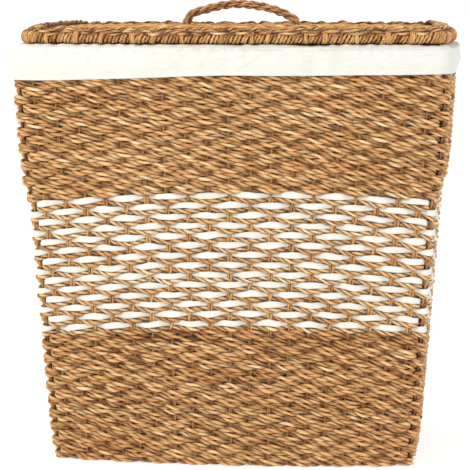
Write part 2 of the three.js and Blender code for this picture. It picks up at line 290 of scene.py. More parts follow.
def seagrass(name, stops=SEAGRASS_STOPS):
    """Dry twisted grass: streaks along each ply, patches of tone, an olive cast here and there, and painted
    shade.
    """
    n = Nodes(name)
    grain = n.attribute("grain", vector=True)
    fibres = n.noise(n.scaled(grain, (1.0, 12.0, 1.0)), 75, 4.0, 0.65)
    fine = n.noise(n.scaled(grain, (1.0, 10.0, 1.0)), 240, 2.0, 0.5)
    patches = n.noise(grain, 14, 2.0, 0.5)
    tone = n.attribute("tone")
    value = n.math("ADD", tone, n.math("MULTIPLY", n.math("SUBTRACT", fibres, 0.5), 0.85))
    value = n.math("ADD", value, n.math("MULTIPLY", n.math("SUBTRACT", fine, 0.5), 0.5))
    value = n.math("ADD", value, n.math("MULTIPLY", n.math("SUBTRACT", patches, 0.5), 0.55))
    colour = n.ramp(value, stops)
    hue = n.attribute("hue")
    green = n.math("MULTIPLY", n.math("GREATER_THAN", hue, 0.82), 0.3)
    red = n.math("MULTIPLY", n.math("LESS_THAN", hue, 0.22), 0.35)
    colour = n.mix(green, colour, rgb(160, 146, 92))
    colour = n.mix(red, colour, rgb(168, 98, 56))
    # painted shade: the attribute read here darkens the grass towards dark brown in crevices and deep in
    # the weave, where shade falls
    depth = n.attribute("depth")
    shaded = n.mix(1.0, colour, rgb(96, 54, 24), "MULTIPLY")
    colour = n.mix(n.math("MULTIPLY", depth, 0.9), colour, shaded)
    height = n.math("ADD", fibres, n.math("MULTIPLY", fine, 0.5))
    normal = n.bump(height, 0.55, 0.0006)
    rough = n.math("ADD", 0.52, n.math("MULTIPLY", fibres, 0.3))
    return n.finish(colour, rough, normal, Specular_IOR_Level=0.35)


def cotton_tape(name):
    """Flat folded off-white cotton cord with its fibres along it, and painted shade."""
    n = Nodes(name)
    grain = n.attribute("grain", vector=True)
    fibres = n.noise(n.scaled(grain, (1.0, 9.0, 1.0)), 90, 4.0, 0.6)
    patches = n.noise(grain, 22, 2.0, 0.5)
    value = n.math("ADD", n.math("MULTIPLY", fibres, 0.7), n.math("MULTIPLY", patches, 0.4))
    colour = n.ramp(value, [
        (0.25, rgb(202, 197, 182)), (0.5, rgb(220, 218, 208)), (0.75, rgb(229, 229, 223))])
    # painted shade: the tape is tinted greyish brown where it turns in behind a stake, where shade falls
    depth = n.attribute("depth")
    colour = n.mix(n.math("MULTIPLY", depth, 0.6), colour, rgb(206, 186, 152))
    normal = n.bump(fibres, 0.5, 0.0005)
    return n.finish(colour, 0.85, normal, Sheen_Weight=0.15, Sheen_Roughness=0.5,
                    Specular_IOR_Level=0.2)


def cloth(name):
    """Plain-woven warm white cotton: a fine thread grid in the bump and the roughness."""
    n = Nodes(name)
    place = n.attribute("grain", vector=True)
    threads_per_metre = 1250.0
    wave = {"Vector": place, "Scale": threads_per_metre / (2 * PI), "Distortion": 0.6, "Detail": 1.0}
    warp = n.new("TexWave", wave, bands_direction="X").outputs["Fac"]
    weft = n.new("TexWave", wave, bands_direction="Y").outputs["Fac"]
    threads = n.math("MULTIPLY", n.math("ADD", warp, weft), 0.5)
    slubs = n.noise(n.scaled(place, (1.0, 7.0, 1.0)), 60, 3.0, 0.6)
    soft = n.noise(place, 16, 3.0, 0.5)
    value = n.math("ADD", n.math("MULTIPLY", slubs, 0.5), n.math("MULTIPLY", soft, 0.5))
    colour = n.ramp(value, [
        (0.3, rgb(205, 205, 198)), (0.55, rgb(216, 216, 210)), (0.8, rgb(222, 222, 217))])
    colour = n.mix(n.math("MULTIPLY", threads, 0.06), colour, rgb(224, 214, 190))
    normal = n.bump(threads, 0.25, 0.00025)
    normal = n.bump(slubs, 0.2, 0.0006, normal)
    rough = n.math("ADD", 0.82, n.math("MULTIPLY", threads, 0.12))
    return n.finish(colour, rough, normal, Sheen_Weight=0.25, Sheen_Roughness=0.45,
                    Specular_IOR_Level=0.2)


def thread(name):
    """Cream sewing thread."""
    n = Nodes(name)
    fibres = n.noise(n.scaled(n.attribute("grain", vector=True), (1.0, 5.0, 1.0)), 900, 2.0)
    colour = n.ramp(fibres, [(0.3, rgb(236, 226, 203)), (0.7, rgb(250, 245, 230))])
    return n.finish(colour, 0.7, n.bump(fibres, 0.3, 0.0001), Specular_IOR_Level=0.3)


def lacquered_wire(name):
    """Dark brown lacquer over iron wire, with worn patches and fine runs."""
    n = Nodes(name)
    place = n.new("TexCoord").outputs["Object"]
    wear = n.noise(place, 60, 5.0, 0.65)
    fine = n.noise(place, 700, 3.0, 0.6)
    worn = n.new("MapRange", {"Value": wear, "From Min": 0.62, "From Max": 0.72}).outputs[0]
    colour = n.ramp(fine, [(0.3, rgb(44, 30, 20)), (0.7, rgb(66, 46, 31))])
    colour = n.mix(worn, colour, rgb(112, 84, 60))
    rough = n.math("ADD", 0.32, n.math("MULTIPLY", wear, 0.3))
    return n.finish(colour, rough, n.bump(fine, 0.25, 0.0002), Metallic=0.35)


# Meshes of cords and cloth, many to a piece

def unit(v):
    """Vectors of length 1 along v."""
    return v / np.maximum(np.linalg.norm(v, axis=-1, keepdims=True), 1e-12)


def arc_length(points, closed):
    """The length along a path to each of its points, and the whole length."""
    ends = np.concatenate([points, points[:1]]) if closed else points
    steps = np.linalg.norm(np.diff(ends, axis=0), axis=1)
    lengths = np.concatenate([[0], np.cumsum(steps)])
    return (lengths[:-1], lengths[-1]) if closed else (lengths, lengths[-1])


def wobble(share, rng, low, high, count=6):
    """A smooth random curve between about -1 and 1 that repeats when share goes from 0 to 1."""
    cycles = rng.integers(low, high + 1, count)
    phases = rng.uniform(0, 2 * PI, count)
    waves = np.sin(2 * PI * cycles[:, None] * np.asarray(share)[None] + phases[:, None])
    return waves.sum(0) / math.sqrt(count / 2) / 1.6


class Piece:
    """Collects tubes as grids of points, n along by m around, and makes one mesh of them."""

    def __init__(self, name):
        self.name = name
        self.tubes = []

    def add(self, grid, closed=False, tone=0.5, hue=0.5, depth=0.0, along=None, around=None):
        """tone, hue and the painted shade drive the material: a number, one a step, or one a point. The
        painted shade darkens the colour where shade falls.
        """
        n, m = grid.shape[:2]

        def full(values):
            values = np.asarray(values, float)
            return np.broadcast_to(values[:, None] if values.ndim == 1 else values, (n, m))

        if along is None:
            along, _ = arc_length(grid.mean(1), closed)
        if around is None:
            size = np.linalg.norm(np.diff(grid[n // 2], axis=0), axis=1).mean()
            around = np.arange(m) * size
        seed = np.full((n, m), len(self.tubes) * 0.37)
        around = np.broadcast_to(np.asarray(around).reshape(1, -1), (n, m))
        self.tubes.append({
            "grid": grid, "closed": closed, "tone": full(tone), "hue": full(hue), "depth": full(depth),
            "grain": np.stack([full(along), around, seed], -1),
        })

    def gather(self, key):
        """One float32 array of what every tube has under this key."""
        parts = [tube[key].reshape(-1, 3) if tube[key].ndim == 3 else tube[key].ravel()
                 for tube in self.tubes]
        return np.concatenate(parts).astype(np.float32).ravel()

    def make(self, material, body, slot, replaces=()):
        """The mesh object, which rides on a body and stands for the CAD nodes in replaces."""
        quads, caps, cells = [], [], []
        start = 0
        for tube in self.tubes:
            n, m = tube["grid"].shape[:2]
            index = start + np.arange(n * m).reshape(n, m)
            ahead = np.roll(index, -1, 0) if tube["closed"] else index[1:]
            here = index if tube["closed"] else index[:-1]
            quad = np.stack([here, ahead, np.roll(ahead, -1, 1), np.roll(here, -1, 1)], -1)
            quads.append(quad.reshape(-1, 4))
            cells.append((quad.shape[0], m))
            if not tube["closed"]:
                caps += [index[0].tolist(), index[-1][::-1].tolist()]
            start += n * m
        quads = np.concatenate(quads)
        flat = [i for cap in caps for i in cap]
        mesh = bpy.data.meshes.new(self.name)
        mesh.vertices.add(start)
        mesh.vertices.foreach_set("co", self.gather("grid"))
        mesh.loops.add(quads.size + len(flat))
        corners = np.concatenate([quads.ravel(), np.array(flat, int)])
        mesh.loops.foreach_set("vertex_index", corners.astype(np.int32))
        sizes = np.concatenate([np.full(len(quads), 4), [len(c) for c in caps]]).astype(np.int32)
        starts = np.concatenate([[0], np.cumsum(sizes)[:-1]]).astype(np.int32)
        mesh.polygons.add(len(sizes))
        mesh.polygons.foreach_set("loop_start", starts)
        mesh.polygons.foreach_set("loop_total", sizes)
        mesh.polygons.foreach_set("use_smooth", np.ones(len(sizes), bool))
        self.unwrap(mesh, cells, len(flat))
        # the painted shade goes to the mesh as an attribute beside tone and hue
        for key in ("tone", "hue", "depth"):
            mesh.attributes.new(key, "FLOAT", "POINT").data.foreach_set("value", self.gather(key))
        grain = mesh.attributes.new("grain", "FLOAT_VECTOR", "POINT")
        grain.data.foreach_set("vector", self.gather("grain"))
        mesh.update()
        mesh.materials.append(material)
        made = bpy.data.objects.new(self.name, mesh)
        bpy.context.scene.collection.objects.link(made)
        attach(made, body)
        if replaces:
            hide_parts(*replaces)
        return made

    def unwrap(self, mesh, cells, loose):
        """Lays every tube out flat in rows, one step of a tube to a cell."""
        steps = sum(n + 1 for n, _ in cells)
        first = self.tubes[0]["grid"]
        ring = first[len(first) // 2]
        wide = np.linalg.norm(np.diff(first.mean(1), axis=0), axis=1).mean()
        high = np.linalg.norm(ring - np.roll(ring, 1, 0), axis=1).sum()
        rows = max(1, round(math.sqrt(steps * wide / high)))
        columns = math.ceil(steps / rows)
        out, at = [], 0
        for n, m in cells:
            step = at + np.arange(n)
            row, column = step // columns, step % columns
            side = np.arange(m)
            u = np.stack([column, column + 1, column + 1, column], -1) / columns
            v = np.stack([side, side, side + 1, side + 1], -1) / m * 0.9 + 0.05
            v = (row[:, None, None] + v[None]) / rows
            out.append(np.stack([np.broadcast_to(u[:, None], v.shape), v], -1).reshape(-1, 2))
            at += n + 1
        out.append(np.zeros((loose, 2)))
        flat = np.concatenate(out).astype(np.float32).ravel()
        mesh.uv_layers.new(name="OFBake").data.foreach_set("uv", flat)


def section(path, out, up, a, b, sides, power=1.0, turn=0.0):
    """A tube's grid: an ellipse of half sizes a (along out) and b (along up) round a path."""
    out, up = np.broadcast_to(out, path.shape), np.broadcast_to(up, path.shape)
    angle = turn - np.arange(sides) / sides * 2 * PI
    c, s = np.cos(angle), np.sin(angle)
    if power != 1.0:
        c, s = np.sign(c) * np.abs(c) ** power, np.sign(s) * np.abs(s) ** power
    a = np.broadcast_to(a, path.shape[:1])[:, None, None]
    b = np.broadcast_to(b, path.shape[:1])[:, None, None]
    return path[:, None] + a * c[None, :, None] * out[:, None] + b * s[None, :, None] * up[:, None]


def frames(path, hint, closed=False):
    """Two unit vectors across a path, the first as near as can be to hint."""
    if closed:
        ends = np.concatenate([path[-1:], path, path[:1]])
        along = unit(ends[2:] - ends[:-2])
    else:
        along = unit(np.gradient(path, axis=0))
    out = unit(hint - (hint * along).sum(-1, keepdims=True) * along)
    return out, np.cross(along, out)


def tilted(out, angle):
    """The level vectors out turned upwards by an angle."""
    return np.cos(angle)[:, None] * out + np.sin(angle)[:, None] * UP


def twist(piece, path, out, up, rng, plies=2, radius=0.0015, spread=0.00135, pitch=0.026,
          closed=False, sides=6, tone=0.5, depth=0.0, hand=-1.0, spread_up=None):
    """Adds a cord of plies twisted round a path. Each ply has its own thickness and tone, and is painted
    darker, as shade, where it faces the cord's middle and in the crevices between the plies."""
    along, total = arc_length(path, closed)
    share = along / total
    turns = total / pitch
    turns = max(1, round(turns)) if closed else turns
    start = rng.uniform(0, 2 * PI)
    uneven = 0.9 * wobble(share, rng, 2, max(3, int(turns / 3)))
    angle = hand * 2 * PI * turns * share + start + uneven
    spread_up = spread if spread_up is None else spread_up
    spread, spread_up = np.broadcast_to(spread, len(path)), np.broadcast_to(spread_up, len(path))
    for i in range(plies):
        turn = angle + 2 * PI * i / plies
        centre = path + (spread * np.cos(turn))[:, None] * out + (spread_up * np.sin(turn))[:, None] * up
        lumps = 0.13 * wobble(share, rng, 3, max(4, int(total / 0.03)))
        thick = radius * (1 + lumps + rng.normal(0, 0.04))
        high = max(4, int(total / 0.16))
        shade = tone + 0.10 * rng.normal() + 0.13 * wobble(share, rng, 2, high)
        shade = shade + 0.10 * np.sign(wobble(share, rng, 2, high))
        hue = 0.5 + 0.42 * wobble(share, rng, 1, max(3, int(total / 0.25)))
        grid = section(centre, out, up, thick, thick * 0.98, sides, turn=rng.uniform(0, 1))
        # painted shade: a ply is darkened in the crevice between plies and where it faces the cord's middle
        reach = np.linalg.norm(grid - path[:, None], axis=2) / (spread + thick)[:, None]
        crevice_shade = np.clip((0.80 - reach) / 0.32, 0, 1)
        inward_shade = np.clip(0.45 - 0.55 * np.cos(turn), 0, 1) * 0.3 + depth
        piece.add(grid, closed=closed, tone=shade, hue=hue, along=along,
                  depth=np.clip(inward_shade[:, None] + 0.75 * crevice_shade, 0, 1))


# The wall

ROWS = []  # height and kind of each row of weft, from the floor up
LOWER_TOP = float(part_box("lower_weave")[1][2])
STRIPE_TOP = float(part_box("striped_weave")[1][2])
WALL_TOP = float(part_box("upper_weave")[1][2])
for bottom, top, count, kind in ((0.0, LOWER_TOP, 18, "grass"), (LOWER_TOP, STRIPE_TOP, 14, "stripe"),
                                 (STRIPE_TOP, WALL_TOP, 18, "grass")):
    for i in range(count):
        ROWS.append((bottom + (i + 0.5) * (top - bottom) / count, kind))
STEPS = 10 * UPRIGHTS  # along one row
TURNS = np.arange(STEPS) / STEPS

WEAVE_CORE = 0.0054  # from the weave's outer face in to the middle of its cords
STAKE_CORE = 0.0062  # and of its stakes
LOWEST_CORE = 0.0031  # the bottom cords rest on the floor
GRASS_SWING, CORD_SWING, TAPE_SWING = 0.0027, 0.0028, 0.0030  # in and out past the stakes
CORNER_SWING = 0.0026  # more at the corners


def wall_out(level):
    """How far the weave's outer face stands out from the outline."""
    return np.interp(level, [0, 0.012, 0.03, 0.3305, 0.338, 0.355, 0.38, 0.44, 0.466, 0.49, 0.51],
                     [-0.0034, -0.0012, 0, 0, 0.0012, 0.0047, 0.0052, 0.0044, 0.0030, -0.0022, -0.0022])


def droop(turn, level):
    """The weave rises in the middle of each side and sags towards the corners, more on the left."""
    rise = np.interp(level, [0, 0.02, 0.167, 0.33, 0.46, 0.5], [0, 0, 0.0035, 0.007, 0.004, 0])
    sag = np.interp(level, [0, 0.02, 0.167, 0.33, 0.46, 0.5], [0, 0, 0.83, 1.0, 0.4, 0.2])
    from_front = np.abs((turn + 0.25) % 0.5 - 0.25)
    corner = (MID_FRONT + CORNER_ARC / 2) / QUARTER / 4
    edge = np.where(from_front < corner, from_front / corner, (0.25 - from_front) / (0.25 - corner))
    return sag * (0.0131 * edge ** 2 - 0.0040 * np.sin(2 * PI * turn)) - rise


def swing(turn, row):
    """1 where a row passes outside an upright, -1 where it passes inside."""
    return (-1) ** row * np.cos(PI * UPRIGHTS * turn)


def build_row(piece, white, row, rng):
    """Two grass cords that part where they pass outside a stake, or in the striped band a grass
    cord below a flat cotton one."""
    level, kind = ROWS[row]
    c = swing(TURNS, row)
    w = (1 + c) / 2  # 0 inside a stake, 1 outside it
    ramp = np.arcsin(np.sqrt(np.clip(w, 0, 1))) * 2 / PI  # the same in straight slopes
    base = level - droop(TURNS, level) + 0.0006 * wobble(TURNS, rng, 3, 40)
    jitter = 0.0004 * wobble(TURNS, rng, 8, 60)
    middle = wall_out(level) - WEAVE_CORE

    _, out = outline(TURNS, level, 0, WALL_CORNER)
    corner = (2 * np.abs(out[:, 0] * out[:, 1])) ** 2  # 1 in the middle of a corner, 0 on the faces
    corner = corner * np.interp(level, [0.44, 0.47], [1, 0])  # and 0 under the cuff

    def path(rise, amplitude, extra=0.0):
        z = np.maximum(base + rise, LOWEST_CORE)
        offset = middle + (amplitude + CORNER_SWING * corner) * c + jitter + extra
        return outline(TURNS, z, offset, WALL_CORNER)

    if kind == "grass":
        tone = 0.61 if level > STRIPE_TOP else 0.54  # the upper band is a lighter batch of grass
        for side in (1, -1):
            rise = side * (0.0019 + 0.0010 * w) + 0.0005 * wobble(TURNS, rng, 20, 90)
            centre, out = path(rise, GRASS_SWING)
            # painted shade: a strand is darker where it passes inside a stake, deep in the wall
            twist(piece, centre, out, UP, rng, radius=0.00205, spread=0.00120, spread_up=0.00130,
                  pitch=0.031, closed=True, tone=tone + 0.06 * rng.normal(), depth=0.65 * (1 - w) ** 1.8)
        return
    centre, out = path(-0.0028 - 0.0008 * w - 0.0018 * ramp ** 2, CORD_SWING)
    # painted shade where the cord passes inside a stake
    twist(piece, centre, out, UP, rng, radius=0.00175, spread=0.00125, pitch=0.024, closed=True,
          tone=0.69 + 0.05 * rng.normal(), depth=0.15 * (1 - w))
    top = 0.0044 + 0.0021 * ramp ** 0.8 * (1 + 0.3 * wobble(TURNS, rng, 20, 60))
    bottom = -0.0003 - 0.0016 * w ** 0.6 * (1 + 0.3 * wobble(TURNS, rng, 20, 60))
    square = np.sign(c) * np.abs(c) ** 0.7
    stray = 0.0005 * wobble(TURNS, rng, 15, 60)
    centre, out = path((top + bottom) / 2 + stray, 0.0, 0.0002 + TAPE_SWING * square)
    high, thick = (top - bottom) / 2, 0.0015
    lean = 0.2 * wobble(TURNS, rng, 10, 70)[:, None]
    grid = section(centre, unit(out + lean * UP), unit(UP - lean * out), thick, high, 8, power=0.85)
    # painted shade where the tape turns in behind a stake
    white.add(grid, closed=True, tone=0.5 + 0.2 * wobble(TURNS, rng, 4, 30), depth=0.6 * (1 - w) ** 2.5)


def build_wall(grass, tape):
    rng = np.random.default_rng(71)
    bands = [("weave_lower", "lower_weave", (0, 6, 12, 18)),
             ("weave_striped", "striped_weave", (18, 25, 32)),
             ("weave_upper", "upper_weave", (32, 38, 44, 50))]
    for band, node, ends in bands:
        for k in range(len(ends) - 1):
            name = f"{band}_{k + 1}"
            piece, white = Piece(name), Piece(name.replace("weave_striped", "cotton_cords"))
            for row in range(ends[k], ends[k + 1]):
                build_row(piece, white, row, rng)
            slot = "cotton_cord" if white.tubes else "seagrass"
            piece.make(grass, "basket", slot, [node] if k == 0 else [])
            if white.tubes:
                white.make(tape, "basket", slot)
    quarter = UPRIGHTS // 4
    for k, side in enumerate(("front_right", "back_right", "back_left", "front_left")):
        piece = Piece("stakes_" + side)
        for j in range(k * quarter, (k + 1) * quarter):
            build_stake(piece, j, rng)
        piece.make(grass, "basket", "seagrass")


def build_stake(piece, j, rng):
    """Two thin strands side by side, thicker where they show between the white cords, with painted shade in
    the brown bands behind the weft.
    """
    turn = j / UPRIGHTS
    z = np.linspace(0.0035, WALL_TOP + 0.003, 210)
    levels = np.array([level - float(droop(turn, level)) for level, _ in ROWS])
    sides = np.array([-float(swing(turn, row)) for row in range(len(ROWS))])
    bend = np.interp(z, levels, sides)
    lean = turn + 0.00022 * wobble(z, rng, 1, 3)
    centre, out = outline(lean, z, wall_out(z) - STAKE_CORE + 0.0006 * bend, WALL_CORNER)
    across = np.cross(out, UP)
    blend = 0.004
    levels = [LOWER_TOP - blend, LOWER_TOP + blend, STRIPE_TOP - blend, STRIPE_TOP + blend]
    striped = np.interp(z, levels, [0, 1, 1, 0])
    share, pitch = z / WALL_TOP, 0.060
    angle = -2 * PI * z / pitch + rng.uniform(0, 2 * PI) + 0.9 * wobble(share, rng, 2, 9)
    for i in range(2):
        turned = angle + PI * i
        wide, thick = 0.00095 + 0.00075 * striped, 0.00105 + 0.00048 * striped
        side = np.clip(1.5 * np.sin(turned), -1, 1)
        spot = centre + (wide * 0.6 * np.cos(turned))[:, None] * out + (wide * side)[:, None] * across
        lumps = 1 + 0.1 * wobble(share, rng, 4, 20)
        # painted shade: the strands are darker in the brown bands, where they lie behind the weft
        piece.add(section(spot, across, out, thick * lumps, thick, 6),
                  tone=0.42 + 0.08 * rng.normal() + 0.08 * wobble(share, rng, 1, 5),
                  hue=0.5 + 0.3 * rng.normal(), depth=0.55 - 0.4 * striped, along=z)


# Flat panels: the base and the lid

PANEL_PITCH = 0.0096  # from one pair of weft cords to the next
PANEL_GAP = 0.0242  # from one stake to the next


def build_panel(piece, rng, level, inset, middle, shift=0.0, amplitude=0.0014, squeeze=1.0, crown=0.0):
    """A flat weave inside the outline of a level, at the height middle. squeeze flattens its
    cords, and crown is how far its middle stands above its edge."""
    edge = outline(np.linspace(-0.25, 0.25, 400), level, -inset)[0][200:]  # from the front to the right
    front, end = edge[:, 1].min(), edge[:, 0].max()
    rows = int(-front / PANEL_PITCH)
    shortest, step = 0.05, 0.0046

    def dome(x, y):
        return crown * (1 - (y / front) ** 2) * (1 - (x / end) ** 4)

    for k in range(-rows, rows + 1):
        y0 = k * PANEL_PITCH
        reach = np.interp(-abs(y0), edge[:, 1], edge[:, 0])
        if reach < shortest:
            continue
        x = np.arange(-reach, reach, step)
        c = (-1) ** k * np.cos(PI * x / PANEL_GAP)
        w = (1 + c) / 2
        for side in (1, -1):
            stray = 0.0003 * np.sin(x * rng.uniform(60, 120) + rng.uniform(0, 6))
            y = y0 + side * (0.0018 + 0.0011 * w) + stray
            path = np.stack([x + shift, y, middle + dome(x, y) + amplitude * c * squeeze], -1)
            # painted shade where a weft cord passes under a stake
            twist(piece, path, UP, BACK, rng, radius=0.00165, spread=0.0011 * squeeze, spread_up=0.0014,
                  pitch=0.029, sides=5, tone=0.50 + 0.05 * rng.normal(), depth=0.25 * (1 - w))
    order = np.argsort(edge[:, 0])
    half = int(end / PANEL_GAP)
    for j in range(-half, half + 1):
        x0 = j * PANEL_GAP
        reach = -np.interp(abs(x0), edge[order, 0], edge[order, 1])
        y = np.arange(-reach, reach, 0.0035)
        rise = -amplitude * 0.4 * (-1) ** j * np.cos(PI * y / PANEL_PITCH)
        path = np.stack([np.full_like(y, x0 + shift), y, middle + dome(x0, y) + rise], -1)
        # painted shade on the stakes, which lie under the weft
        twist(piece, path, UP, RIGHT, rng, radius=0.0012, spread=0.0010, spread_up=0.0013, pitch=0.021,
              sides=5, tone=0.42 + 0.06 * rng.normal(), depth=0.2)


def build_base(piece, rng):
    build_panel(piece, rng, level=0.0, inset=0.011, middle=0.0042, amplitude=0.0012, squeeze=0.85)


def build_lid_weave(piece, rng):
    low, high = (float(corner[2]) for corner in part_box("lid_weave"))
    build_panel(piece, rng, level=RIM_LEVEL, inset=0.0165, middle=(low + high) / 2, shift=LID_SHIFT,
                crown=0.003)


# The lid's edge, plait and handle

ROD_OFFSET = -0.0115  # from the outline to the middle of the rod
ROD_LEVEL = float(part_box("lid_wire_ring")[0][2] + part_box("lid_wire_ring")[1][2]) / 2
ROD_RADIUS = ROD_LEVEL - float(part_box("lid_edge_wrap")[0][2])


def lid_ring(turn, offset, z, corner=CORNER):
    """Points round the lid, offset from the outline, at heights z, and their outward normals."""
    point, out = outline(turn, RIM_LEVEL, offset, corner)
    point[:, 0] += LID_SHIFT
    point[:, 2] = z
    return point, out


def round_rod(turn, radius, angle):
    """Points round the rod. angle is 0 on its outer side and goes up from there."""
    return lid_ring(turn, ROD_OFFSET + radius * np.cos(angle), ROD_LEVEL + radius * np.sin(angle))


def build_lid_edge(piece, rng):
    """A strand wound tightly round the edge rod, and a core that closes the gaps behind it, painted dark as
    the shade in those gaps. The windings carry painted shade at their edges.
    """
    share = np.arange(420) / 420
    centre, out = lid_ring(share, ROD_OFFSET, ROD_LEVEL)
    core = ROD_RADIUS * 0.78
    # painted shade: the core has a dark tone and the fullest painted shade, standing for the shade between
    # the windings
    piece.add(section(centre, out, UP, core, core, 12), closed=True, tone=0.2, depth=1.0)
    turns, per = 372, 25
    share = np.arange(turns * per) / (turns * per)
    angle = 2 * PI * turns * share
    radius = ROD_RADIUS - 0.0015 + 0.0004 * wobble(share, rng, 30, 300) + 0.0004 * wobble(share, rng, 8, 50)
    slant = 0.0013 * np.sin(angle) + 0.00035 * wobble(share, rng, 40, 300)
    point, out = round_rod(share + slant, radius, angle)
    radial, tangent = tilted(out, angle), np.cross(UP, out)
    tone = 0.45 + 0.17 * wobble(share, rng, 40, 300) + 0.09 * np.sign(wobble(share, rng, 20, 160))
    hue = 0.5 + 0.4 * wobble(share, rng, 5, 60)
    twirl = 2 * PI * round(turns * 3.3) * share
    for i in range(2):
        turned = twirl + PI * i
        spot = point + (0.0006 * np.cos(turned))[:, None] * radial
        spot = spot + (0.0010 * np.sin(turned))[:, None] * tangent
        thick = 0.00128 * (1 + 0.15 * wobble(share, rng, 60, 500))
        grid = section(spot, radial, tangent, thick, thick, 5)
        # painted shade: each winding is darker at its edges, where it meets the next, and on its side
        # towards the rod
        aside = np.abs(((grid - point[:, None]) * tangent[:, None]).sum(-1)) / 0.0022
        low = ((grid - point[:, None]) * radial[:, None]).sum(-1) / 0.0015
        piece.add(grid, closed=True, tone=tone + 0.06 * (-1) ** i, hue=hue,
                  depth=np.clip(0.9 * aside - 0.35 * low, 0, 1))


def build_lid_ties(piece, rng):
    """Doubled strands over the winding, which bind the plait to the edge rod."""
    count = 50
    for i in range(count):
        turn = (i + 0.5 + rng.uniform(-0.25, 0.25)) / count
        angle = np.linspace(-1.0, 1.9, 30)
        lean = rng.uniform(-0.0010, 0.0010)
        strands = int(rng.integers(2, 4))
        for strand in range(strands):
            reach = ROD_RADIUS + 0.0009 + rng.uniform(0, 0.0004)
            place = turn + (strand - strands / 2) * 0.00115 + lean * np.sin(angle)
            point, out = round_rod(place, reach, angle)
            radial, tangent = tilted(out, angle), np.cross(out, UP)
            wide = 0.0011 * (1 + 0.2 * np.sin(3 * angle + rng.uniform(0, 6)))
            # painted shade: a tie darkens as it goes round under the rod and over its top towards the plait
            piece.add(section(point, radial, tangent, 0.0008, wide, 6), tone=0.46 + 0.12 * rng.normal(),
                      hue=rng.uniform(), depth=np.clip(np.abs(angle) - 0.6, 0, 1))


def build_plait(piece, rng):
    """Three flat strands, each of two cords side by side, plaited round the border of the lid.
    It is draped over the rod at the front and back and lies inside it at the ends."""
    crossings, shift, drape = 21, 0.0030, ROD_RADIUS + 0.0017
    share = np.arange(1300) / 1300
    swell = 1 + 0.10 * wobble(share, rng, 5, 40)
    uneven = 0.4 * wobble(share, rng, 10, 50)
    _, facing = lid_ring(share, 0, 0, PLAIT_CORNER)
    inset = 0.0115 * np.abs(facing[:, 0]) ** 2.5
    for strand in range(3):
        phase = 2 * PI * (crossings * share + strand / 3) + uneven
        for cord in (-1, 1):
            side = 0.0050 * np.sin(phase) * swell + 0.0020 * cord + shift - inset
            lift = 0.0018 * np.sin(2 * phase) + 0.0005 * wobble(share, rng, 20, 100)
            angle = np.maximum(side, 0) / drape
            across = ROD_OFFSET + (drape + lift) * np.sin(angle) + np.minimum(side, 0)
            z = ROD_LEVEL + (drape + lift) * np.cos(angle) + 0.2 * np.maximum(-side, 0)
            path, out = lid_ring(share, across, z, PLAIT_CORNER)
            # painted shade: a cord is darker where it dips under the other strands
            twist(piece, path, out, UP, rng, radius=0.00142, spread=0.00110, pitch=0.028, closed=True,
                  tone=0.53 + 0.08 * rng.normal(), hand=1.0, depth=0.92 * (1 - np.sin(2 * phase)) / 2)


def smooth_path(points, count):
    """A centripetal Catmull-Rom curve through the points, as in the CAD model."""
    points = np.array(points, float)
    points = np.concatenate([[2 * points[0] - points[1]], points, [2 * points[-1] - points[-2]]])
    knots = np.concatenate([[0], np.cumsum(np.linalg.norm(np.diff(points, axis=0), axis=1) ** 0.5)])
    at = np.linspace(knots[1], knots[-2], count)
    i = np.clip(np.searchsorted(knots, at, side="right") - 1, 1, len(points) - 3)
    t0, t1, t2, t3 = (knots[i + k][:, None] for k in (-1, 0, 1, 2))
    p0, p1, p2, p3 = (points[i + k] for k in (-1, 0, 1, 2))
    t = at[:, None]
    a1 = (t1 - t) / (t1 - t0) * p0 + (t - t0) / (t1 - t0) * p1
    a2 = (t2 - t) / (t2 - t1) * p1 + (t - t1) / (t2 - t1) * p2
    a3 = (t3 - t) / (t3 - t2) * p2 + (t - t2) / (t3 - t2) * p3
    b1 = (t2 - t) / (t2 - t0) * a1 + (t - t0) / (t2 - t0) * a2
    b2 = (t3 - t) / (t3 - t1) * a2 + (t - t1) / (t3 - t1) * a3
    return (t2 - t) / (t2 - t1) * b1 + (t - t1) / (t2 - t1) * b2


# The handle's arch from foot to foot: millimetres to the right of the lid's middle, and above its weave
LEFT_FOOT, RIGHT_FOOT = -75, 67
HANDLE = [(LEFT_FOOT, -2), (-73, 8.5), (-65.5, 17.5), (-49.5, 22.5), (-29, 27.6), (-9, 29.5), (11, 28),
          (32, 23.8), (52, 16.5), (64, 8), (RIGHT_FOOT, -2)]


def build_handle(piece, rng):
    """A rope of three strands, each of three plies, with a knot under the lid at each end."""
    panel = float(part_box("lid_weave")[1][2])
    knot = float(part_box("handle_rope")[0][2]) + 0.008  # its middle, above the bottom of the rope's box
    deep = (knot - panel) * 1000
    route = [(LEFT_FOOT, deep), *HANDLE, (RIGHT_FOOT, deep)]
    path = smooth_path([(LID_SHIFT + x / 1000, 0, panel + z / 1000) for x, z in route], 420)
    out, up = frames(path, BACK)
    along, _ = arc_length(path, False)
    spread, pitch = 0.0029, 0.040
    for strand in range(3):
        angle = -2 * PI * along / pitch + 2 * PI * strand / 3 + 0.3
        centre = path + spread * (np.cos(angle)[:, None] * out + np.sin(angle)[:, None] * up)
        side, rise = frames(centre, out)
        twist(piece, centre, side, rise, rng, plies=3, radius=0.00148, spread=0.00138, pitch=0.032,
              tone=0.56 + 0.05 * rng.normal(), hand=1.0)
    for x in (LEFT_FOOT, RIGHT_FOOT):
        build_knot(piece, np.array([LID_SHIFT + x / 1000, 0, knot]), rng)


